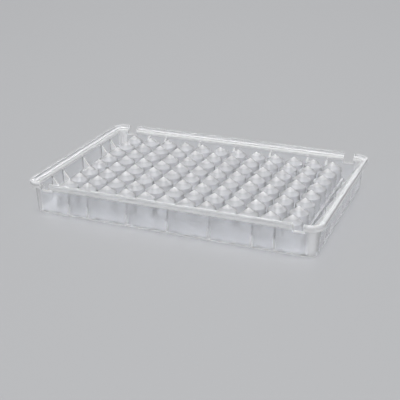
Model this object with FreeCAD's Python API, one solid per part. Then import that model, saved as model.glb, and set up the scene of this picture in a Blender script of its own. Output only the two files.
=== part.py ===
import FreeCAD, Part
import math
import os

# A 96-well microplate with V-bottom wells, moulded in one piece from natural polypropylene.
# It lies upside down: the mouths of the wells rest on the surface at Z = 0, and the well tips and
# the wide footprint flange face up. X runs along the long side and Y across it, the origin is the
# middle of the plate at the height of the mouths, and every size is in millimetres.

# Grid of wells
columns = 12
rows = 8
well_gap = 0.68                 # between neighbouring wells at their mouths, which sets the pitch to 9.0
column_edge_distance = 14.38    # from the centre of the outer column to the short side
row_edge_distance = 11.24       # from the centre of the outer row to the long side

# One well
bore_diameter = 6.9
well_wall = 0.65
well_draft = 0.06               # the well is this much slimmer at its shoulder than at its mouth
cone_height = 2.9
shoulder_radius = 0.5
tip_radius = 0.5
mouth_height = 0.3              # each mouth stands out this far below the deck

# Plate
plate_height = 15.0
deck_thickness = 1.7
tip_clearance = 1.45            # the tips stay this far below the top of the flange

# Footprint flange
flange_height = 2.5
flange_overhang = 1.7
flange_corner_radius = 5.0
flange_edge_radius = 0.45
lip_thickness = 1.1
lip_depth = 1.1
ledge_width = 1.4
ledge_drop = 0.55
ledge_bevel = 0.45

# Side walls
wall_thickness = 1.35
wall_draft = 0.8                # the wall stands this much further in at the deck than at the flange
wall_corner_radius = 4.2

# Ring around the well block, and the fins between it and the walls
ring_thickness = 1.3
ring_top = 5.9
fin_thickness = 0.9
fin_slope = 1.35                # drop over run of a fin's free edge
fin_drop = 0.2                  # from the ledge's bevel down to the top of a fin
fin_toe = 1.4                   # a fin ends this far outside the centres of the outer wells
long_side_fins = (-5, -4, -2, 0, 2, 4, 5)    # gaps between columns, counted from the middle
short_side_fins = (-3, -2, 0, 2, 3)          # gaps between rows, counted from the middle

# Notches through the long sides of the flange
notch_width = 4.5
notch_depth = 4.0
notch_from_outer_column = 5.2
notch_corner_radius = 0.6

well_radius = bore_diameter / 2 + well_wall
well_pitch = 2 * (well_radius + well_draft) + well_gap
grid_half_length = (columns - 1) * well_pitch / 2
grid_half_width = (rows - 1) * well_pitch / 2
half_length = grid_half_length + column_edge_distance
half_width = grid_half_width + row_edge_distance
deck_top = mouth_height + deck_thickness
tip_height = plate_height - tip_clearance
flange_bottom = plate_height - flange_height
ledge_inset = lip_thickness + ledge_width
wall_inner_inset = flange_overhang + wall_thickness
ledge_bottom = plate_height - lip_depth - ledge_drop
bevel_bottom = ledge_bottom - ledge_bevel
wall_corner_inset = flange_overhang + wall_corner_radius
overlap = 0.2                   # how far a solid reaches into one it is fused to, or a cutter past a face
tiny = 1e-6


def outline(inset, corner_inset, z):
    """Rounded rectangle, inset from the footprint, with its corner centres at corner_inset."""
    radius = corner_inset - inset
    x = half_length - corner_inset
    y = half_width - corner_inset
    edges = []
    for sign_x, sign_y, start in ((1, 1, 0), (-1, 1, 90), (-1, -1, 180), (1, -1, 270)):
        centre = FreeCAD.Vector(sign_x * x, sign_y * y, z)
        circle = Part.Circle(centre, FreeCAD.Vector(0, 0, 1), radius)
        edges.append(Part.Arc(circle, math.radians(start), math.radians(start + 90)).toShape())
    joined = []
    for edge, following in zip(edges, edges[1:] + edges[:1]):
        joined.append(edge)
        joined.append(Part.makeLine(edge.valueAt(edge.LastParameter),
                                    following.valueAt(following.FirstParameter)))
    return Part.Wire(joined)


def prism(inset, corner_inset, bottom, top):
    """Straight block with a rounded-rectangle outline."""
    face = Part.Face(outline(inset, corner_inset, bottom))
    return face.extrude(FreeCAD.Vector(0, 0, top - bottom))


def tapered(low_inset, high_inset, bottom, top):
    """Block whose sides lean between two insets, as the drafted wall does."""
    low = outline(low_inset, wall_corner_inset, bottom)
    high = outline(high_inset, wall_corner_inset, top)
    return Part.makeLoft([low, high], True, True)


def wall_inset_at(z, surface_inset):
    """Inset of a wall surface at height z, from its inset at the underside of the flange."""
    return surface_inset + wall_draft * (flange_bottom - z) / (flange_bottom - mouth_height)


def shell_outside():
    """Everything inside the outer faces of the walls and the flange."""
    flange = prism(0, flange_corner_radius, flange_bottom, plate_height)
    top_edges = [edge for edge in flange.Edges if edge.BoundBox.ZMin > plate_height - tiny]
    flange = flange.makeFillet(flange_edge_radius, top_edges)
    walls = tapered(wall_inset_at(mouth_height, flange_overhang), flange_overhang,
                    mouth_height, flange_bottom)
    return flange.fuse(walls)


def shell_inside():
    """The space above the deck: the lip, the ledge, its bevel and the drafted walls."""
    lip = prism(lip_thickness, flange_corner_radius, plate_height - lip_depth, plate_height + overlap)
    ledge = prism(ledge_inset, wall_corner_inset, ledge_bottom, plate_height)
    bevel = tapered(wall_inner_inset, ledge_inset, bevel_bottom, ledge_bottom)
    walls = tapered(wall_inset_at(deck_top, wall_inner_inset), wall_inner_inset, deck_top, bevel_bottom)
    return walls.fuse([bevel, ledge, lip]).removeSplitter()


def revolved(points, arcs):
    """Solid of revolution about Z; an arc replaces the run that starts at its point."""
    edges = []
    for index, point in enumerate(points):
        following = points[(index + 1) % len(points)]
        start = FreeCAD.Vector(point[0], 0, point[1])
        end = FreeCAD.Vector(following[0], 0, following[1])
        if index in arcs:
            middle = FreeCAD.Vector(arcs[index][0], 0, arcs[index][1])
            edges.append(Part.Arc(start, middle, end).toShape())
        else:
            edges.append(Part.makeLine(start, end))
    face = Part.Face(Part.Wire(edges))
    return face.revolve(FreeCAD.Vector(0, 0, 0), FreeCAD.Vector(0, 0, 1), 360)


def well_outside():
    """One well as a solid: a drafted cylinder with a cone on top, rounded at its shoulder and its tip."""
    slope = math.atan2(cone_height, well_radius)
    turn = math.pi / 2 - slope
    sharp_tip = tip_height + tip_radius / math.cos(slope) - tip_radius
    shoulder = sharp_tip - cone_height - shoulder_radius * math.tan(turn / 2)
    shoulder_x = well_radius - shoulder_radius
    tip_z = tip_height - tip_radius
    cone_start = (shoulder_x + shoulder_radius * math.sin(slope),
                  shoulder + shoulder_radius * math.cos(slope))
    shoulder_middle = (shoulder_x + shoulder_radius * math.cos(turn / 2),
                       shoulder + shoulder_radius * math.sin(turn / 2))
    cone_end = (tip_radius * math.sin(slope), tip_z + tip_radius * math.cos(slope))
    tip_middle = (tip_radius * math.sin(slope / 2), tip_z + tip_radius * math.cos(slope / 2))
    points = [(0, 0), (well_radius + well_draft, 0), (well_radius, shoulder), cone_start, cone_end,
              (0, tip_height)]
    return revolved(points, {2: shoulder_middle, 4: tip_middle})


def well_bore():
    """The space inside one well: a drafted cylinder that ends in a sharp cone."""
    bore_radius = bore_diameter / 2
    tip = tip_height - well_wall
    shoulder = tip - cone_height * bore_radius / well_radius
    points = [(0, -overlap), (bore_radius + well_draft, -overlap), (bore_radius, shoulder), (0, tip)]
    return revolved(points, {})


def on_grid(shape):
    """A copy of the shape at the place of every well."""
    copies = []
    for column in range(columns):
        for row in range(rows):
            copy = shape.copy()
            copy.translate(FreeCAD.Vector(column * well_pitch - grid_half_length,
                                          row * well_pitch - grid_half_width, 0))
            copies.append(copy)
    return copies


def ring():
    """Low rib that runs round the block of wells and touches the outer ones."""
    block_inset_x = column_edge_distance - well_radius
    block_inset_y = row_edge_distance - well_radius
    outer = block(block_inset_x - ring_thickness, block_inset_y - ring_thickness,
                  well_radius + ring_thickness)
    inner = block(block_inset_x, block_inset_y, well_radius)
    return outer.cut(inner)


def block(inset_x, inset_y, radius):
    """Rounded block from the deck to the top of the ring."""
    x = half_length - inset_x
    y = half_width - inset_y
    box = Part.makeBox(2 * x, 2 * y, ring_top - deck_top + overlap,
                       FreeCAD.Vector(-x, -y, deck_top - overlap))
    corners = [edge for edge in box.Edges if edge.BoundBox.ZLength > overlap]
    return box.makeFillet(radius, corners)


def fin(wall_half_size, grid_half_size):
    """Triangular fin in the plane Y = 0, from the wall at +X down to the outer wells."""
    top = bevel_bottom - fin_drop
    wall_top = wall_half_size - wall_inset_at(top, wall_inner_inset)
    root_top = wall_top + wall_thickness / 2
    root_low = wall_half_size - wall_inset_at(deck_top, wall_inner_inset) + wall_thickness / 2
    inner = grid_half_size + fin_toe
    low = max(top - fin_slope * (wall_top - inner), deck_top)
    toe = max(inner, wall_top - (top - deck_top) / fin_slope)
    points = [(toe, low), (wall_top, top), (root_top, top), (root_low, deck_top - overlap),
              (toe, deck_top - overlap)]
    corners = [FreeCAD.Vector(x, -fin_thickness / 2, z) for x, z in points]
    face = Part.Face(Part.makePolygon(corners + corners[:1]))
    return face.extrude(FreeCAD.Vector(0, fin_thickness, 0))


def fins():
    """The fins on all four sides, each in a gap between two outer wells."""
    up = FreeCAD.Vector(0, 0, 1)
    origin = FreeCAD.Vector(0, 0, 0)
    result = []
    for turn, places, wall_half_size, grid_half_size in (
            (0, short_side_fins, half_length, grid_half_length),
            (90, long_side_fins, half_width, grid_half_width)):
        for place in places:
            one = fin(wall_half_size, grid_half_size)
            one.translate(FreeCAD.Vector(0, place * well_pitch, 0))
            opposite = one.copy()
            one.rotate(origin, up, turn)
            opposite.rotate(origin, up, turn + 180)
            result.extend([one, opposite])
    return result


def notch():
    """Cutter for one notch, with rounded lower corners, through the long side at +Y."""
    middle = grid_half_length + notch_from_outer_column
    bottom = plate_height - notch_depth
    box = Part.makeBox(notch_width, row_edge_distance, notch_depth + overlap,
                       FreeCAD.Vector(middle - notch_width / 2, half_width - wall_corner_inset, bottom))
    low_edges = [edge for edge in box.Edges
                 if edge.BoundBox.ZMax < bottom + tiny and edge.BoundBox.XLength < tiny]
    return box.makeFillet(notch_corner_radius, low_edges)


def notches():
    """The four notches, one near each corner."""
    first = notch()
    mirrored = first.mirror(FreeCAD.Vector(0, 0, 0), FreeCAD.Vector(1, 0, 0))
    front = [shape.mirror(FreeCAD.Vector(0, 0, 0), FreeCAD.Vector(0, 1, 0)) for shape in (first, mirrored)]
    return [first, mirrored] + front


def well_plate():
    """The whole moulding."""
    shell = shell_outside().cut(shell_inside())
    body = shell.multiFuse([ring()] + fins() + on_grid(well_outside()))
    body = body.cut(Part.makeCompound(notches() + on_grid(well_bore())))
    return body.removeSplitter()


os.makedirs("parts", exist_ok=True)
plate = well_plate()
solid = plate.Solids[0]
print("well_plate: %d solid, valid %s, %.0f cubic mm" % (len(plate.Solids), solid.isValid(), solid.Volume))
solid.exportStep("parts/well_plate.step")
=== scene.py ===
import math

import bpy
import numpy as np
from bpy.props import FloatProperty, FloatVectorProperty, IntProperty, PointerProperty
from mathutils import Matrix, Vector


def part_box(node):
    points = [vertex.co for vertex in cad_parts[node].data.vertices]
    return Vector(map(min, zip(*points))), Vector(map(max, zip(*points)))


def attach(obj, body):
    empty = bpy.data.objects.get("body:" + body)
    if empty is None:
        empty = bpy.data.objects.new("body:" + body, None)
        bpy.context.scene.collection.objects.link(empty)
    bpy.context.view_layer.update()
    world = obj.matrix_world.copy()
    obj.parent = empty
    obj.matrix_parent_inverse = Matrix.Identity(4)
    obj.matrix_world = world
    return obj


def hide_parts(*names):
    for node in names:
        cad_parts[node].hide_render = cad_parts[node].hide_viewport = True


bl_info = {
    "name": "Well Plate",
    "version": (1, 0, 0),
    "blender": (4, 5, 0),
    "location": "3D View > Sidebar > Well Plate",
    "description": "Moulds a 96-well plate in natural polypropylene around its packed frame, and lights it",
    "category": "Object",
}

NODE = "well_plate"
BODY = "root"
MM = 0.001

# Fins stand in the gaps between wells, counted in pitches from the middle of their side.
LONG_SIDE_FINS = (-5, -4, -2, 0, 2, 4, 5)
SHORT_SIDE_FINS = (-3, -2, 0, 2, 3)

# Mould roundings of the small edges, which soften how they catch the light.
FOOT_EDGE = 0.25 * MM
FLANGE_ROOT_EDGE = 0.15 * MM
LIP_EDGE = 0.12 * MM
LEDGE_EDGE = 0.15 * MM
LEDGE_ROOT_EDGE = 0.1 * MM
BEVEL_EDGE = 0.2 * MM
RING_EDGE = 0.25 * MM

# Points or steps on each curve.
CORNER_POINTS = 9
EDGE_STEPS = 4
SHOULDER_STEPS = 5
TIP_POINTS = 3
CROWN_POINTS = 7

# How far a cutter stands out past the face that it opens, and half a notch cutter's length along Y.
CUTTER_MARGIN = 1 * MM
NOTCH_REACH = 4 * MM
# Edges that turn more than this stay sharp, and the rest are shaded smooth.
SHARP_ANGLE = math.radians(32)
# How much the flow of the melt changes the haze, as a share of it.
FLOW_CONTRAST = 0.3

# Each softbox: its name, power in watts, side in metres and place. All face the origin.
SOFTBOXES = (
    ("top softbox", 1.8, 0.6, (0, 0, 1.6)),
    ("front softbox", 12.8, 0.7, (0.33, -0.8, 1.5)),
    ("back softbox", 6.5, 0.8, (-0.4, 1.05, 1.3)),
)
# Width of the camera's frame in mm, and the nearest distance that it sees.
SENSOR_WIDTH = 36
NEAR_CLIP = 0.01

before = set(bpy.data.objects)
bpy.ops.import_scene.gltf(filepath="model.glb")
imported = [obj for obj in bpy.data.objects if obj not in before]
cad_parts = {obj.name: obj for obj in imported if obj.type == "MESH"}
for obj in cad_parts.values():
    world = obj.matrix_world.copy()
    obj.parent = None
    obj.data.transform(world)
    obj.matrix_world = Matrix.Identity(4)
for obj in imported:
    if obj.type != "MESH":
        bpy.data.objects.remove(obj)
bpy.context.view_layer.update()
plate_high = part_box(NODE)[1]
# Half the plate's length and width, and its height.
HALF_SIZE = np.array(plate_high[:2])
TOP = plate_high.z


def srgb(hex_colour):
    """Linear red, green and blue of an sRGB hex colour such as "D8DDE2"."""
    channels = np.array([int(hex_colour[i:i + 2], 16) for i in (0, 2, 4)]) / 255
    linear = np.where(channels <= 0.04045, channels / 12.92, ((channels + 0.055) / 1.055) ** 2.4)
    return tuple(linear)


def length(name, description, default):
    """A size in metres that the sidebar shows as a length."""
    return FloatProperty(name=name, description=description, default=default, min=0, precision=5,
                         unit="LENGTH")


def clearness(name, description, default):
    """A share of light that a zone of the resin passes on without scattering it."""
    return FloatProperty(name=name, description=description, default=default, min=0, max=1,
                         subtype="FACTOR")


def colour(name, description, default):
    """A colour, whose default is an sRGB hex value."""
    return FloatVectorProperty(name=name, description=description, default=srgb(default), min=0, max=1,
                               subtype="COLOR")


def angle(name, description, default):
    """An angle, whose default is in degrees."""
    return FloatProperty(name=name, description=description, default=math.radians(default),
                         subtype="ANGLE")


class WELLPLATE_PG_wells(bpy.types.PropertyGroup):
    """Wells and their grid"""
    columns: IntProperty(name="Columns", description="Wells along the long side", default=12, min=1)
    rows: IntProperty(name="Rows", description="Wells across the plate", default=8, min=1)
    pitch: length("Pitch", "Distance between the centres of neighbouring wells", 9 * MM)
    bore: length("Bore", "Inside diameter of a well", 6.9 * MM)
    wall: length("Wall", "Thickness of a well's wall", 0.65 * MM)
    draft: length("Draft", "How much less a well's radius is at its shoulder than at its mouth", 0.06 * MM)
    cone: length("Cone", "Height of the cone on the outside of a well", 2.9 * MM)
    shoulder: length("Shoulder radius", "Rounding between the cylinder and its cone", 0.5 * MM)
    tip: length("Tip radius", "Rounding of the well's tip", 0.5 * MM)
    tip_clearance: length("Tip clearance", "How far the tips stay below the top of the flange", 1.45 * MM)
    mouth: length("Mouth height", "How far the mouths stand out from the deck", 0.3 * MM)
    segments: IntProperty(name="Segments", description="Facets round one well", default=36, min=8)


class WELLPLATE_PG_skirt(bpy.types.PropertyGroup):
    """Deck, walls and footprint flange"""
    deck: length("Deck", "Thickness of the deck between the wells", 1.7 * MM)
    flange: length("Flange height", "Height of the footprint flange's outer face", 2.5 * MM)
    overhang: length("Flange overhang", "How far the flange stands out from the wall", 1.7 * MM)
    flange_corner: length("Flange corner", "Radius of the flange's corners in plan", 5.0 * MM)
    wall_corner: length("Wall corner", "Radius of the wall's outer corners in plan", 4.2 * MM)
    lip: length("Lip", "Width of the flange's top lip", 1.1 * MM)
    lip_depth: length("Lip depth", "Step from the lip down to the ledge", 1.1 * MM)
    ledge: length("Ledge", "Width of the ledge inside the lip", 1.4 * MM)
    ledge_drop: length("Ledge drop", "Step at the inner edge of the ledge", 0.55 * MM)
    bevel: length("Bevel", "Height of the bevel below the ledge", 0.45 * MM)
    wall: length("Wall", "Thickness of the side walls", 1.35 * MM)
    draft: length("Draft", "How much further in the wall stands at the deck than at the flange", 0.8 * MM)
    edge: length("Edge radius", "Rounding of the flange's outer top edge", 0.45 * MM)


class WELLPLATE_PG_ribs(bpy.types.PropertyGroup):
    """Fins inside the walls, and the low ring round the wells"""
    fin: length("Fin thickness", "Thickness of the fins inside the walls", 0.9 * MM)
    fin_slope: FloatProperty(name="Fin slope", description="Drop over run of a fin's free edge",
                             default=1.35, min=0.1)
    fin_drop: length("Fin drop", "From the ledge's bevel down to the top of a fin", 0.2 * MM)
    ring: length("Ring thickness", "Thickness of the low ring round the block of wells", 1.3 * MM)
    ring_top: length("Ring top", "Height of the ring's top edge", 5.9 * MM)


class WELLPLATE_PG_notches(bpy.types.PropertyGroup):
    """Notches in the flange, near the ends of the long sides"""
    width: length("Width", "Width of a notch along the long side", 4.5 * MM)
    depth: length("Depth", "Depth of a notch below the flange's top", 4.0 * MM)
    corner: length("Corner", "Rounding of a notch's lower corners", 0.6 * MM)
    from_column: length("From column", "Distance from the outer column of wells to the notch", 5.2 * MM)


class WELLPLATE_PG_looks(bpy.types.PropertyGroup):
    """Natural polypropylene: its colour, and how much light each zone of the moulding passes on"""
    resin: colour("Resin", "Colour of the natural polypropylene", "FAFBFD")
    lamp_tint: colour("Lamp tint", "Share of lamp light that one surface lets through", "F3F3F4")
    wall_clearness: clearness("Walls", "Share of light that the thin walls and the ring pass on", 0.87)
    flange_clearness: clearness("Flange", "Share of light that the flange's lip passes on", 0.65)
    bevel_clearness: clearness("Bevel", "Share of light that the flange passes on below its ledge", 0.15)
    corner_clearness: clearness("Corners", "Share of light that the skirt's corners pass on", 0.4)
    notch_clearness: clearness("Notches", "Share of light that the notches' cut faces pass on", 0.3)
    foot_clearness: clearness("Foot", "Share of light that the skirt's foot passes on", 0.1)
    fin_clearness: clearness("Fins", "Share of light that the fins pass on above the ring", 0.1)
    joint_clearness: clearness("Fins at ring", "Share of light that the fins pass on beside the ring", 0.1)
    root_clearness: clearness("Fin roots", "Share of light that the wall passes on at a fin's foot", 0.4)
    root_top_clearness: clearness("Root tops", "Share of light that the wall passes on up a fin", 0.85)
    mouth_clearness: clearness("Mouths", "Share of light that the deck passes on round the mouths", 0.3)
    well_clearness: clearness("Wells", "Share of light that the wells' sides pass on", 0.76)
    tip_clearness: clearness("Tips", "Share of light that the wells' tips pass on", 0.2)
    foot_height: length("Foot height", "Height of the milky foot of the skirt", 1 * MM)
    blend: length("Blend", "Height over which one clearness turns into the next", 0.6 * MM)
    scatter: length("Scatter", "How far light travels inside the resin", 0.2 * MM)
    haze: FloatProperty(name="Haze", description="Roughness with which the resin blurs light",
                        subtype="FACTOR", min=0, max=1, default=0.12)
    flow_size: length("Flow size", "Size of the faint uneven patches left by the flow of the melt", 3 * MM)


class WELLPLATE_PG_stage(bpy.types.PropertyGroup):
    """Floor, backdrop and room light"""
    floor: colour("Floor", "Colour of the floor and the backdrop", "BABBBD")
    sky: colour("Sky", "Colour of the room's soft light", "EAEAEB")
    sky_strength: FloatProperty(name="Sky strength", description="Strength of the room's soft light",
                                min=0, default=0.45)
    reach: length("Reach", "Half the side of the floor", 3.0)
    lit_floor: length("Lit floor", "Distance at which the floor starts to turn into backdrop", 0.4)
    backdrop: length("Backdrop", "Distance past which the floor is plain backdrop", 1.2)


class WELLPLATE_PG_camera(bpy.types.PropertyGroup):
    """Camera, placed on a sphere round the point that it looks at"""
    azimuth: angle("Azimuth", "Camera's turn round the plate", 22.14)
    elevation: angle("Elevation", "Camera's height above the horizon", 22.88)
    roll: angle("Roll", "Camera's turn about its own axis", -0.12)
    distance: length("Distance", "From the camera to the point that it looks at", 363.6 * MM)
    aim: FloatVectorProperty(name="Aim", description="Point that the camera looks at",
                             subtype="TRANSLATION", unit="LENGTH", default=(4.87 * MM, -16.95 * MM, 7 * MM))
    lens: FloatProperty(name="Lens", description="Focal length in mm on a 36 mm frame", default=77.6, min=1)


def plan_outline(corner_points):
    """Rounded rectangle as two arrays: which corner a point belongs to, and the direction it faces.
    Points of one corner turn through a right angle, and straight sides join the corners."""
    turn = np.linspace(0, np.pi / 2, corner_points)
    angles = np.concatenate([turn + quarter * np.pi / 2 for quarter in range(4)])
    corners = np.repeat(np.array([(1, 1), (-1, 1), (-1, -1), (1, -1)], float), corner_points, axis=0)
    return corners, np.stack([np.cos(angles), np.sin(angles)], axis=-1)


def carried(profile, half_size):
    """Profile carried round a rounded rectangle of a half size. The profile's rows hold inset, height and
    corner inset: a point is the corner's centre, plus what is left of the corner's radius along the facing
    direction."""
    corners, facing = plan_outline(CORNER_POINTS)
    inset, height, corner_inset = np.array(profile, float).T[:, :, None, None]
    flat = corners * (half_size - corner_inset) + facing * (corner_inset - inset)
    upright = np.broadcast_to(height, flat.shape[:2] + (1,))
    return np.concatenate([flat, upright], axis=-1)


def turned(profile, segments):
    """Profile turned about Z. The profile's rows hold radius and height: a point is
    (radius cos angle, radius sin angle, height)."""
    swing = np.linspace(0, 2 * np.pi, segments, endpoint=False)
    radius, height = np.array(profile, float).T[:, :, None]
    return np.stack([radius * np.cos(swing), radius * np.sin(swing), height + 0 * swing], axis=-1)


def ring_faces(rings, points, closed):
    """Quads between neighbouring rings of a grid; closed joins the last ring to the first."""
    ring = np.arange(rings if closed else rings - 1)[:, None]
    point = np.arange(points)[None, :]
    above = (ring + 1) % rings * points
    after = (point + 1) % points
    quads = np.stack([ring * points + point, ring * points + after, above + after, above + point], axis=-1)
    return quads.reshape(-1, 4)


def loop_surface(grid):
    """Closed surface of a grid whose rings follow a closed profile."""
    rings, points = grid.shape[:2]
    return grid.reshape(-1, 3), [ring_faces(rings, points, True)]


def capped_surface(grid):
    """Closed surface of a grid of rings from bottom to top, with a pole in the middle of each end."""
    rings, points = grid.shape[:2]
    poles = np.stack([grid[0].mean(axis=0), grid[-1].mean(axis=0)])
    bottom, top = rings * points, rings * points + 1
    point = np.arange(points)
    after = (point + 1) % points
    last = (rings - 1) * points
    below = np.stack([np.full(points, bottom), after, point], axis=-1)
    above = np.stack([np.full(points, top), last + point, last + after], axis=-1)
    return np.concatenate([grid.reshape(-1, 3), poles]), [ring_faces(rings, points, False), below, above]


def repeated(surface, places):
    """Copies of a surface at each place: every point plus every place, and the faces counted on."""
    points, faces = surface
    copies = (np.array(places)[:, None, :] + points[None]).reshape(-1, 3)
    count = np.arange(len(places))[:, None, None] * len(points)
    return copies, [(block[None] + count).reshape(-1, block.shape[1]) for block in faces]


def new_object(name, surface):
    """Mesh object from points and blocks of faces."""
    points, faces = surface
    mesh = bpy.data.meshes.new(name)
    mesh.from_pydata(points.tolist(), [], [face for block in faces for face in block.tolist()])
    mesh.update()
    made = bpy.data.objects.new(name, mesh)
    bpy.context.scene.collection.objects.link(made)
    return made


def rounded_corner(before, corner, after, radius, steps=EDGE_STEPS):
    """Arc that rounds the corner of two straight runs. Its centre lies on their bisector, and a point on
    it is the centre plus the arc's two end radii, each weighted by the sine of its share of the swing."""
    before, corner, after = (np.array(point, float) for point in (before, corner, after))
    back = (before - corner) / np.linalg.norm(before - corner)
    ahead = (after - corner) / np.linalg.norm(after - corner)
    half_angle = math.acos(np.clip(back @ ahead, -1, 1)) / 2
    bisector = (back + ahead) / np.linalg.norm(back + ahead)
    centre = corner + bisector * radius / math.sin(half_angle)
    start = corner + back * radius / math.tan(half_angle) - centre
    end = corner + ahead * radius / math.tan(half_angle) - centre
    share = np.linspace(0, 1, steps + 1)[:, None]
    swing = math.pi - 2 * half_angle
    return centre + (np.sin((1 - share) * swing) * start + np.sin(share * swing) * end) / math.sin(swing)


def rounded_profile(points, radii):
    """Closed profile whose corners are rounded by the radius given for each; 0 keeps a corner sharp."""
    result = []
    for index, (point, radius) in enumerate(zip(points, radii)):
        if radius:
            following = points[(index + 1) % len(points)]
            result.extend(rounded_corner(points[index - 1], point, following, radius))
        else:
            result.append(point)
    return np.array(result)


def well_profile(radius, cone, tip_height, tip_radius, shoulder_radius, draft, floor):
    """Half section of a well from its mouth to its tip: a drafted cylinder, a rounded shoulder, a cone
    and a rounded tip. The cone's sharp point lies a little above the rounded one, and the tip's arc stops
    short of the axis, where a pole closes it."""
    slope = math.atan2(cone, radius)
    sharp = tip_height + tip_radius / math.cos(slope) - tip_radius
    shoulder = sharp - cone
    outline = [(radius + draft, floor), (radius, shoulder), (0, sharp)]
    turn = rounded_corner(*outline, shoulder_radius, SHOULDER_STEPS)
    lean = np.linspace(slope, slope / 4, TIP_POINTS)
    tip = np.stack([tip_radius * np.sin(lean), tip_height - tip_radius + tip_radius * np.cos(lean)],
                   axis=-1)
    return np.concatenate([[outline[0]], turn, tip])


def outer_radius(wells):
    """Outside radius of a well at its shoulder."""
    return wells.bore / 2 + wells.wall


def half_grid_size(wells):
    """Half the distances between the centres of the outer columns, and of the outer rows."""
    return np.array([wells.columns - 1, wells.rows - 1]) * wells.pitch / 2


def ledge_bottom(skirt):
    """Height of the flange's inner edge below its ledge, where the bevel starts."""
    return TOP - skirt.lip_depth - skirt.ledge_drop


def well_places(wells):
    """Centres of the wells: columns and rows one pitch apart, with their middle at the origin."""
    x = (np.arange(wells.columns) - (wells.columns - 1) / 2) * wells.pitch
    y = (np.arange(wells.rows) - (wells.rows - 1) / 2) * wells.pitch
    grid_x, grid_y = np.meshgrid(x, y)
    return np.stack([grid_x.ravel(), grid_y.ravel(), np.zeros(grid_x.size)], axis=-1)


def skirt_surface(wells, skirt):
    """Walls and flange: one closed section, carried round the plan. Its rows hold inset, height, corner
    inset and edge rounding."""
    flange_bottom = TOP - skirt.flange
    wall_corner = skirt.overhang + skirt.wall_corner
    ledge = skirt.lip + skirt.ledge
    inner = skirt.overhang + skirt.wall
    lean = skirt.draft / (flange_bottom - wells.mouth)
    foot = inner + lean * (flange_bottom - wells.mouth - skirt.deck / 2)
    outline = [
        (skirt.overhang + skirt.draft, wells.mouth, wall_corner, FOOT_EDGE),
        (skirt.overhang, flange_bottom, wall_corner, FLANGE_ROOT_EDGE),
        (0, flange_bottom, skirt.flange_corner, LIP_EDGE),
        (0, TOP, skirt.flange_corner, skirt.edge),
        (skirt.lip, TOP, skirt.flange_corner, LIP_EDGE),
        (skirt.lip, TOP - skirt.lip_depth, skirt.flange_corner, LIP_EDGE),
        (ledge, TOP - skirt.lip_depth, wall_corner, LEDGE_EDGE),
        (ledge, ledge_bottom(skirt), wall_corner, LEDGE_ROOT_EDGE),
        (inner, ledge_bottom(skirt) - skirt.bevel, wall_corner, BEVEL_EDGE),
        (foot, wells.mouth + skirt.deck / 2, wall_corner, 0),
    ]
    profile = rounded_profile([row[:3] for row in outline], [row[3] for row in outline])
    return loop_surface(carried(profile, HALF_SIZE))


def deck_surface(wells, skirt):
    """Deck: a flat slab whose edge lies inside the walls."""
    inset = skirt.overhang + skirt.draft + skirt.wall / 2
    corner = skirt.overhang + skirt.wall_corner
    profile = [(inset, wells.mouth, corner), (inset, wells.mouth + skirt.deck, corner)]
    return capped_surface(carried(profile, HALF_SIZE))


def ring_surface(wells, skirt, ribs):
    """Low ring round the wells: a closed section with a rounded top, carried round the block."""
    low = wells.mouth + skirt.deck / 2
    corner = ribs.ring + outer_radius(wells)
    points = [(0, low, corner), (0, ribs.ring_top, corner),
              (ribs.ring, ribs.ring_top, corner), (ribs.ring, low, corner)]
    profile = rounded_profile(points, [0, RING_EDGE, RING_EDGE, 0])
    return loop_surface(carried(profile, half_grid_size(wells) + outer_radius(wells) + ribs.ring))


def fin_surface(wells, skirt, ribs, half_side, half_grid):
    """Fin in the plane Y = 0 against the wall at +X: an upright section with a rounded top edge, whose
    height follows the straight slope from the wall down to the wells. It ends where the slope meets the
    deck, or a third of a well's radius outside the outer wells' centres, whichever comes first."""
    flange_bottom = TOP - skirt.flange
    deck_top = wells.mouth + skirt.deck
    fin_top = ledge_bottom(skirt) - skirt.bevel - ribs.fin_drop
    inner = skirt.overhang + skirt.wall
    lean = skirt.draft / (flange_bottom - wells.mouth)
    wall_top = half_side - inner - lean * (flange_bottom - fin_top)
    toe = max(half_grid + outer_radius(wells) / 3, wall_top - (fin_top - deck_top) / ribs.fin_slope)
    root = wall_top + skirt.wall / 2
    x = np.array([toe, wall_top, root])
    height = np.array([fin_top - ribs.fin_slope * (wall_top - toe), fin_top, fin_top])
    half = ribs.fin / 2
    crown = 0.5 * half
    turn = np.linspace(0, np.pi, CROWN_POINTS)
    across = np.concatenate([half * np.cos(turn), [-half, half]])
    drop = np.concatenate([crown * (np.sin(turn) - 1), [0, 0]])
    stands = np.concatenate([np.ones(turn.size), [0, 0]])
    z = stands * (height[:, None] + drop) + (1 - stands) * (deck_top - skirt.deck / 2)
    grid = np.stack([np.broadcast_to(x[:, None], z.shape), np.broadcast_to(across, z.shape), z], axis=-1)
    return capped_surface(grid)


def fin_copies(surface, places, turn, pitch):
    """Fins in their gaps on two facing sides: moved along the side, and turned about Z."""
    moved, faces = repeated(surface, [(0, place * pitch, 0) for place in places])
    rotations = [np.array(Matrix.Rotation(side, 3, "Z")) for side in (turn, turn + math.pi)]
    return [(moved @ rotation.T, faces) for rotation in rotations]


def notch_surface(notches):
    """Cutter for a notch: a block along Y with rounded lower corners, whose top is above the flange."""
    half = notches.width / 2
    low, high = TOP - notches.depth, TOP + CUTTER_MARGIN
    section = rounded_profile([(-half, high), (half, high), (half, low), (-half, low)],
                              [0, 0, notches.corner, notches.corner])
    y = np.array([-NOTCH_REACH, NOTCH_REACH])
    shape = (2, len(section))
    grid = np.stack([np.broadcast_to(section[:, 0], shape), np.broadcast_to(y[:, None], shape),
                     np.broadcast_to(section[:, 1], shape)], axis=-1)
    return capped_surface(grid)


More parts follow.
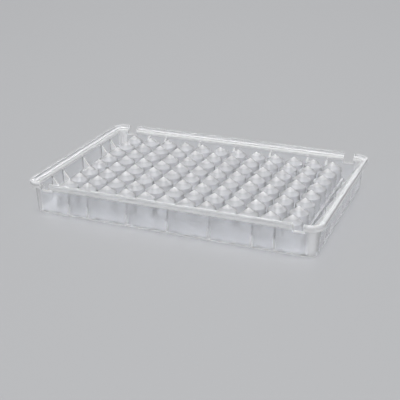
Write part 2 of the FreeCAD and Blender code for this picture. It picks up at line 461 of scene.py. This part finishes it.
def combine(target, tool, operation):
    """Unites a tool with the target, or cuts the target by it, and removes the tool."""
    modifier = target.modifiers.new(operation.title(), "BOOLEAN")
    modifier.operation = operation
    modifier.solver = "MANIFOLD"
    modifier.object = tool
    evaluated = target.evaluated_get(bpy.context.evaluated_depsgraph_get())
    result = bpy.data.meshes.new_from_object(evaluated)
    target.modifiers.clear()
    old = target.data
    target.data = result
    bpy.data.meshes.remove(old)
    mesh = tool.data
    bpy.data.objects.remove(tool)
    bpy.data.meshes.remove(mesh)
    if not len(target.data.polygons):
        raise RuntimeError("%s left nothing of %s" % (operation, target.name))


def add_node(tree, kind, settings=None, inputs=None):
    """Adds a node, sets its properties, and sets its inputs, or links them where the value is a socket."""
    node = tree.nodes.new(kind)
    for name, value in (settings or {}).items():
        setattr(node, name, value)
    for name, value in (inputs or {}).items():
        if isinstance(value, bpy.types.NodeSocket):
            tree.links.new(value, node.inputs[name])
        else:
            node.inputs[name].default_value = value
    return node


def new_material(name):
    """Empty node material with its output node."""
    material = bpy.data.materials.new(name)
    material.use_nodes = True
    material.node_tree.nodes.clear()
    return material, material.node_tree, add_node(material.node_tree, "ShaderNodeOutputMaterial")


def clearness_curve(tree, height, marks):
    """Share of light passed on, read from a curve over height; marks pair heights with shares."""
    heights = [mark[0] for mark in marks]
    low, high = min(heights), max(heights)
    share = add_node(tree, "ShaderNodeMapRange", inputs={
        "Value": height, "From Min": low, "From Max": high})
    node = add_node(tree, "ShaderNodeFloatCurve", inputs={"Value": share.outputs[0]})
    curve = node.mapping.curves[0]
    places = [((level - low) / (high - low), clear) for level, clear in marks]
    curve.points[0].location, curve.points[1].location = places[0], places[-1]
    for place in places[1:-1]:
        curve.points.new(*place)
    for point in curve.points:
        point.handle_type = "VECTOR"
    node.mapping.update()
    return node.outputs[0]


def calculate(tree, operation, *values):
    """Output of a Math node; its values are numbers or sockets."""
    return add_node(tree, "ShaderNodeMath", {"operation": operation}, dict(enumerate(values))).outputs[0]


def distance_outside(tree, place, half_size):
    """How far a point lies outside a rectangle round the origin; it is negative inside."""
    return calculate(tree, "MAXIMUM", *[
        calculate(tree, "SUBTRACT", calculate(tree, "ABSOLUTE", place[axis]), half)
        for axis, half in zip("XY", half_size)])


def chosen(tree, switch, off, on):
    """One of two numbers or sockets, or their blend, by a switch from 0 to 1. A Mix node's numbers are
    its sockets 0, 2 and 3."""
    return add_node(tree, "ShaderNodeMix", {"data_type": "FLOAT"}, {0: switch, 2: off, 3: on}).outputs[0]


def cornerness(tree, place, skirt, half_straight):
    """From 0 on the skirt's straight sides to 1 in the middle of its rounded corners. It starts to rise
    half a wall's thickness before a corner, and is 1 a quarter of the corner's radius into it."""
    past = [calculate(tree, "SUBTRACT", calculate(tree, "ABSOLUTE", place[axis]), half)
            for axis, half in zip("XY", half_straight)]
    return add_node(tree, "ShaderNodeMapRange", inputs={
        "Value": calculate(tree, "MINIMUM", *past), "From Min": -skirt.wall / 2,
        "From Max": skirt.wall_corner / 4}).outputs[0]


def near_notch(tree, place, notches, middle, margin):
    """1 on the cut faces of the notches and a margin round them, and 0 elsewhere."""
    offset = calculate(tree, "SUBTRACT", calculate(tree, "ABSOLUTE", place["X"]), middle)
    beside = calculate(tree, "LESS_THAN", calculate(tree, "ABSOLUTE", offset), notches.width / 2 + margin)
    above = calculate(tree, "GREATER_THAN", place["Z"], TOP - notches.depth - margin)
    return calculate(tree, "MULTIPLY", beside, above)


def distance_to_fins(tree, place, pitch, half_block):
    """How far a point beside the block lies from the middle plane of the nearest fin. The sides are
    symmetrical, so the fins from the middle of a side outward stand for all."""
    nearest = pitch
    for along, across, fins, half in (("X", "Y", LONG_SIDE_FINS, half_block[1]),
                                      ("Y", "X", SHORT_SIDE_FINS, half_block[0])):
        inside = calculate(tree, "SUBTRACT", half, calculate(tree, "ABSOLUTE", place[across]))
        offset = calculate(tree, "ABSOLUTE", place[along])
        for fin in fins[len(fins) // 2:]:
            gap = calculate(tree, "ABSOLUTE", calculate(tree, "SUBTRACT", offset, fin * pitch))
            nearest = calculate(tree, "MINIMUM", nearest, calculate(tree, "MAXIMUM", gap, inside))
    return nearest


def clearness_by_place(tree, place, scene):
    """Share of light that the resin passes on. It is least where the moulding is thick: at the mouths, the
    well tips, the bevel, the skirt's foot and corners, and where fins meet the ring or the wall. Thin walls
    and the ring are clear."""
    looks, wells, skirt = scene.plate_looks, scene.plate_wells, scene.plate_skirt
    ribs, notches = scene.plate_ribs, scene.plate_notches
    deck_top = wells.mouth + skirt.deck
    flange_bottom = TOP - skirt.flange
    tip = TOP - wells.tip_clearance
    blend = looks.blend
    well_blend, root_blend, fine_blend = 4 * blend, 2 * blend, blend / 4
    notch_margin = blend / 3
    half_grid = half_grid_size(wells)
    half_block = half_grid + outer_radius(wells)
    half_channel = HALF_SIZE - skirt.overhang - skirt.wall - skirt.draft
    half_straight = HALF_SIZE - skirt.overhang - skirt.wall_corner

    block = clearness_curve(tree, place["Z"], [
        (0, looks.mouth_clearness), (deck_top, looks.mouth_clearness),
        (deck_top + well_blend, looks.well_clearness), (tip - wells.cone / 2, looks.well_clearness),
        (tip, looks.tip_clearness)])
    fins = clearness_curve(tree, place["Z"], [
        (0, looks.wall_clearness), (deck_top + fine_blend, looks.wall_clearness),
        (deck_top + 2 * fine_blend, looks.joint_clearness), (ribs.ring_top, looks.joint_clearness),
        (ribs.ring_top + blend, looks.fin_clearness), (TOP, looks.fin_clearness)])
    walls = clearness_curve(tree, place["Z"], [
        (0, looks.foot_clearness), (looks.foot_height, looks.foot_clearness),
        (looks.foot_height + blend, looks.wall_clearness), (flange_bottom - blend, looks.wall_clearness),
        (flange_bottom, looks.bevel_clearness), (ledge_bottom(skirt), looks.bevel_clearness),
        (TOP - skirt.lip_depth, looks.flange_clearness), (TOP, looks.flange_clearness)])
    roots = clearness_curve(tree, place["Z"], [
        (0, looks.root_clearness), (ribs.ring_top, looks.root_clearness),
        (ribs.ring_top + root_blend, looks.root_top_clearness), (TOP, looks.root_top_clearness)])

    from_fins = distance_to_fins(tree, place, wells.pitch, half_block)
    at_root = calculate(tree, "LESS_THAN", from_fins, ribs.fin / 2)
    walls = chosen(tree, at_root, walls, calculate(tree, "MINIMUM", walls, roots))
    beside_block = distance_outside(tree, place, half_block)
    past_ring = calculate(tree, "GREATER_THAN", beside_block, ribs.ring + fine_blend)
    channel = chosen(tree, past_ring, looks.wall_clearness, fins)
    in_channel = calculate(tree, "LESS_THAN", distance_outside(tree, place, half_channel), 0.0)
    corners = calculate(tree, "MINIMUM", walls, looks.corner_clearness)
    outer = chosen(tree, cornerness(tree, place, skirt, half_straight), walls, corners)
    at_notch = near_notch(tree, place, notches, half_grid[0] + notches.from_column, notch_margin)
    outer = chosen(tree, at_notch, outer, calculate(tree, "MINIMUM", outer, looks.notch_clearness))
    skirt_side = chosen(tree, in_channel, outer, channel)
    return chosen(tree, calculate(tree, "GREATER_THAN", beside_block, 0.0), block, skirt_side)


def natural_polypropylene(scene):
    """Injection-moulded natural polypropylene: semicrystalline, so part of the light scatters a fraction of
    a millimetre inside it and comes out milky, and the rest passes through it blurred. The flow of the melt
    leaves the haze a little uneven. Lamp light passes as through the thin walls of the real one, so the
    wells and the deck glow from inside."""
    looks = scene.plate_looks
    material, tree, output = new_material("natural_polypropylene")
    coordinates = add_node(tree, "ShaderNodeTexCoord").outputs["Object"]
    place = add_node(tree, "ShaderNodeSeparateXYZ", inputs={0: coordinates}).outputs
    clear_share = clearness_by_place(tree, place, scene)
    flow = add_node(tree, "ShaderNodeTexNoise", inputs={
        "Vector": coordinates, "Scale": 1 / looks.flow_size, "Detail": 2.0, "Roughness": 0.5})
    haze = add_node(tree, "ShaderNodeMapRange", inputs={
        "Value": flow.outputs["Fac"], "To Min": (1 - FLOW_CONTRAST) * looks.haze,
        "To Max": (1 + FLOW_CONTRAST) * looks.haze})
    shader = add_node(tree, "ShaderNodeBsdfPrincipled", {"subsurface_method": "RANDOM_WALK"}, {
        "Base Color": (*looks.resin, 1), "Roughness": haze.outputs[0], "IOR": 1.49,
        "Transmission Weight": clear_share, "Subsurface Weight": 1.0, "Subsurface Scale": 1.0,
        "Subsurface Radius": (looks.scatter,) * 3})
    clear = add_node(tree, "ShaderNodeBsdfTransparent", inputs={"Color": (*looks.lamp_tint, 1)})
    path = add_node(tree, "ShaderNodeLightPath")
    mix = add_node(tree, "ShaderNodeMixShader", inputs={
        0: path.outputs["Is Shadow Ray"], 1: shader.outputs[0], 2: clear.outputs[0]})
    tree.links.new(mix.outputs[0], output.inputs["Surface"])
    return material


def seen_directly(tree):
    """1 for what is seen straight, in gloss or through clear resin, and 0 for the light that falls on
    things."""
    path = add_node(tree, "ShaderNodeLightPath").outputs
    seen = calculate(tree, "MAXIMUM", path["Is Camera Ray"], path["Is Glossy Ray"])
    return calculate(tree, "MAXIMUM", seen, path["Is Transmission Ray"])


def pale_floor(stage):
    """Matt painted board, pale and plain, so that only the plate's own shadow marks it. Far from the plate,
    where the lamps fade, it turns into an even backdrop of its own colour."""
    material, tree, output = new_material("pale_floor")
    board = add_node(tree, "ShaderNodeBsdfPrincipled", inputs={
        "Base Color": (*stage.floor, 1), "Roughness": 0.7})
    backdrop = add_node(tree, "ShaderNodeEmission", inputs={"Color": (*stage.floor, 1)})
    coordinates = add_node(tree, "ShaderNodeTexCoord").outputs["Object"]
    distance = add_node(tree, "ShaderNodeVectorMath", {"operation": "LENGTH"}, {0: coordinates})
    far = add_node(tree, "ShaderNodeMapRange", {"interpolation_type": "SMOOTHSTEP"}, {
        "Value": distance.outputs["Value"], "From Min": stage.lit_floor, "From Max": stage.backdrop})
    share = calculate(tree, "MULTIPLY", far.outputs[0], seen_directly(tree))
    mix = add_node(tree, "ShaderNodeMixShader", inputs={
        0: share, 1: board.outputs[0], 2: backdrop.outputs[0]})
    tree.links.new(mix.outputs[0], output.inputs["Surface"])
    return material


def studio_world(stage):
    """Soft light of a pale room, whose walls are seen in the floor's own colour."""
    world = bpy.data.worlds.new("studio")
    world.use_nodes = True
    tree = world.node_tree
    tree.nodes.clear()
    light = add_node(tree, "ShaderNodeBackground", inputs={
        "Color": (*stage.sky, 1), "Strength": stage.sky_strength})
    walls = add_node(tree, "ShaderNodeBackground", inputs={"Color": (*stage.floor, 1), "Strength": 1.0})
    mix = add_node(tree, "ShaderNodeMixShader", inputs={
        0: seen_directly(tree), 1: light.outputs[0], 2: walls.outputs[0]})
    add_node(tree, "ShaderNodeOutputWorld", inputs={"Surface": mix.outputs[0]})
    return world


def unite_plate(wells, skirt, ribs):
    """Skirt of the plate, with the deck, ring, wells and fins united to it one after the other."""
    plate = new_object("well_plate_moulding", skirt_surface(wells, skirt))
    well = well_profile(outer_radius(wells), wells.cone, TOP - wells.tip_clearance, wells.tip,
                        wells.shoulder, wells.draft, 0)
    half_grid = half_grid_size(wells)
    short_side = fin_surface(wells, skirt, ribs, HALF_SIZE[0], half_grid[0])
    long_side = fin_surface(wells, skirt, ribs, HALF_SIZE[1], half_grid[1])
    for part in (
        deck_surface(wells, skirt),
        ring_surface(wells, skirt, ribs),
        repeated(capped_surface(turned(well, wells.segments)), well_places(wells)),
        *fin_copies(short_side, SHORT_SIDE_FINS, 0, wells.pitch),
        *fin_copies(long_side, LONG_SIDE_FINS, math.pi / 2, wells.pitch),
    ):
        combine(plate, new_object("tool", part), "UNION")
    return plate


def cut_bores(plate, wells):
    """Bores, open at the mouths. They leave an even wall, and their roundings are half as large as those
    of the wells' outside."""
    slope = wells.cone / outer_radius(wells)
    bore = well_profile(wells.bore / 2, wells.bore / 2 * slope, TOP - wells.tip_clearance - wells.wall,
                        wells.tip / 2, wells.shoulder / 2, wells.draft, -CUTTER_MARGIN)
    tool = repeated(capped_surface(turned(bore, wells.segments)), well_places(wells))
    combine(plate, new_object("tool", tool), "DIFFERENCE")


def cut_notches(plate, wells, skirt, notches):
    """Four notches, through the flange and the wall behind it."""
    middle = half_grid_size(wells)[0] + notches.from_column
    side = HALF_SIZE[1] - skirt.overhang - skirt.wall_corner + NOTCH_REACH
    corners = [(x * middle, y * side, 0) for x in (-1, 1) for y in (-1, 1)]
    combine(plate, new_object("tool", repeated(notch_surface(notches), corners)), "DIFFERENCE")


class WELLPLATE_OT_mould_plate(bpy.types.Operator):
    """Moulds the whole plate: walls, flange, deck, wells, ring, fins and notches, as one closed skin"""
    bl_idname = "wellplate.mould_plate"
    bl_label = "Mould Plate"

    def execute(self, context):
        scene = context.scene
        wells, skirt = scene.plate_wells, scene.plate_skirt
        plate = unite_plate(wells, skirt, scene.plate_ribs)
        cut_bores(plate, wells)
        cut_notches(plate, wells, skirt, scene.plate_notches)
        plate.data.shade_smooth()
        plate.data.set_sharp_from_angle(angle=SHARP_ANGLE)
        plate.data.materials.clear()
        plate.data.materials.append(natural_polypropylene(scene))
        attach(plate, BODY)
        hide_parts(NODE)
        return {"FINISHED"}


def area_lamp(name, power, size, place):
    """Square softbox at a place, turned to face the origin."""
    light = bpy.data.lights.new(name, "AREA")
    light.energy = power
    light.size = size
    lamp = bpy.data.objects.new(name, light)
    lamp.location = place
    toward_origin = Vector((0, 0, 0)) - Vector(place)
    lamp.rotation_euler = toward_origin.to_track_quat("-Z", "Y").to_euler()
    bpy.context.scene.collection.objects.link(lamp)


def floor_surface(reach):
    """Flat square round the origin, and its one face."""
    points = np.array([(-1, -1, 0), (1, -1, 0), (1, 1, 0), (-1, 1, 0)], float) * reach
    return points, [np.array([[0, 1, 2, 3]])]


def add_camera(view):
    """Camera on a sphere round its aim: back is the direction (sin azimuth cos elevation,
    -cos azimuth cos elevation, sin elevation) from the aim to the camera."""
    aim = Vector(view.aim)
    back = Vector((math.sin(view.azimuth) * math.cos(view.elevation),
                   -math.cos(view.azimuth) * math.cos(view.elevation), math.sin(view.elevation)))
    camera = bpy.data.objects.new("camera", bpy.data.cameras.new("camera"))
    camera.data.lens = view.lens
    camera.data.sensor_width = SENSOR_WIDTH
    camera.data.clip_start = NEAR_CLIP
    camera.location = aim + back * view.distance
    turn = (-back).to_track_quat("-Z", "Y").to_matrix() @ Matrix.Rotation(view.roll, 3, "Z")
    camera.rotation_euler = turn.to_euler()
    bpy.context.scene.collection.objects.link(camera)
    return camera


class WELLPLATE_OT_set_stage(bpy.types.Operator):
    """Sets the floor, the softboxes and the camera"""
    bl_idname = "wellplate.set_stage"
    bl_label = "Set Stage"

    def execute(self, context):
        scene = context.scene
        stage = scene.plate_stage
        floor = new_object("floor", floor_surface(stage.reach))
        floor.data.materials.append(pale_floor(stage))
        scene.camera = add_camera(scene.plate_camera)
        for softbox in SOFTBOXES:
            area_lamp(*softbox)
        scene.world = studio_world(stage)
        scene.view_settings.view_transform = "Standard"
        return {"FINISHED"}


class WELLPLATE_PT_sidebar(bpy.types.Panel):
    """Lists the plate's sizes and colours, and its operators"""
    bl_label = "Well Plate"
    bl_idname = "WELLPLATE_PT_sidebar"
    bl_space_type = "VIEW_3D"
    bl_region_type = "UI"
    bl_category = "Well Plate"

    def draw(self, context):
        for name in GROUPS:
            group = getattr(context.scene, name)
            box = self.layout.box()
            for field in group.bl_rna.properties.keys():
                if field not in ("rna_type", "name"):
                    box.prop(group, field)
        for operator in OPERATORS:
            self.layout.operator(operator)


GROUPS = {
    "plate_wells": WELLPLATE_PG_wells,
    "plate_skirt": WELLPLATE_PG_skirt,
    "plate_ribs": WELLPLATE_PG_ribs,
    "plate_notches": WELLPLATE_PG_notches,
    "plate_looks": WELLPLATE_PG_looks,
    "plate_stage": WELLPLATE_PG_stage,
    "plate_camera": WELLPLATE_PG_camera,
}
OPERATORS = ("wellplate.mould_plate", "wellplate.set_stage")
CLASSES = (*GROUPS.values(), WELLPLATE_OT_mould_plate, WELLPLATE_OT_set_stage, WELLPLATE_PT_sidebar)


def register():
    for cls in CLASSES:
        bpy.utils.register_class(cls)
    for name, group in GROUPS.items():
        setattr(bpy.types.Scene, name, PointerProperty(type=group))


def unregister():
    for name in GROUPS:
        delattr(bpy.types.Scene, name)
    for cls in reversed(CLASSES):
        bpy.utils.unregister_class(cls)


def main():
    register()
    bpy.ops.wellplate.mould_plate()
    bpy.ops.wellplate.set_stage()


if __name__ == "__main__":
    main()
